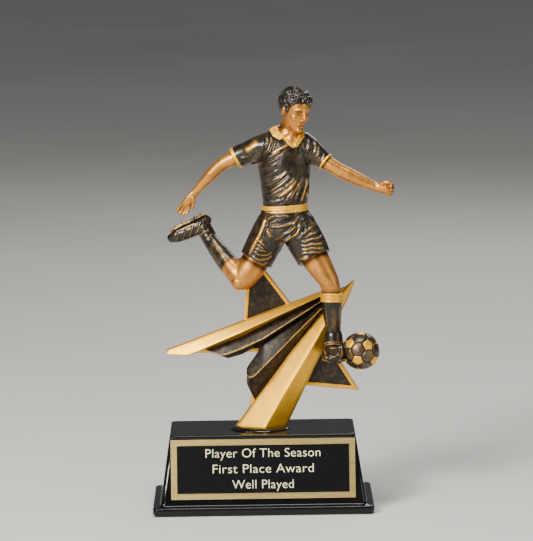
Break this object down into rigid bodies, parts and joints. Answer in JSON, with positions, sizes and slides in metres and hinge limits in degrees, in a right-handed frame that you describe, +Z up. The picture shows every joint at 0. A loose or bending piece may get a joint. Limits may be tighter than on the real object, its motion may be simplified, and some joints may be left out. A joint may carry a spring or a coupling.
{
  "type": "figure trophy",
  "caption": "Resin figure trophy: a soccer player in mid-kick on a fan of rays in front of a star, on a black base with an engraving plate.",
  "frame": {"origin": "centre of the underside of the felt, where the trophy rests", "axes": "+Z up through the figure, +X to the viewer's right, -Y towards the viewer, the side with the plate"},
  "size_m": [0.1239, 0.06, 0.216],
  "materials": {
    "black_gloss": "deep gloss black lacquer",
    "weight": "rough cast",
    "board": "bare board",
    "felt": "short black felt",
    "tape": "foam tape",
    "brushed_gold": "brushed, pale gold",
    "black_plate": null,
    "black_resin": "glossy black",
    "steel": "zinc plated",
    "gold_paint": "satin gold paint",
    "antique_bronze": "dark antique bronze with gold dry-brushed high spots",
    "bronze_skin": "satin copper bronze"
  },
  "bodies": {
    "root": {"backing_plate": "brushed_gold", "backing_tape": "tape", "ball": "antique_bronze", "ball_pin": "steel", "base_cover": "board", "base_shell": "black_gloss", "base_weight": "weight", "engraved_plate": "black_plate", "felt_pad": "felt", "foot_mound": "black_resin", "gold_ray": "gold_paint", "head": "bronze_skin", "jersey": "antique_bronze", "kicking_boot": "antique_bronze", "kicking_boot_pin": "steel", "kicking_leg": "bronze_skin", "kicking_leg_pin": "steel", "left_arm": "bronze_skin", "left_arm_pin": "steel", "lower_ray": "antique_bronze", "middle_ray": "antique_bronze", "mounting_stud": "steel", "neck_pin": "steel", "plate_tape": "tape", "right_arm": "bronze_skin", "right_arm_pin": "steel", "shin_pin": "steel", "shorts": "antique_bronze", "standing_boot": "antique_bronze", "standing_boot_pin": "steel", "standing_leg": "bronze_skin", "standing_leg_pin": "steel", "star_pins": "steel", "star_plate": "antique_bronze", "stud_nut": "steel", "stud_washer": "steel", "upper_blade": "gold_paint", "waist_pin": "steel"}
  },
  "joints": []
}
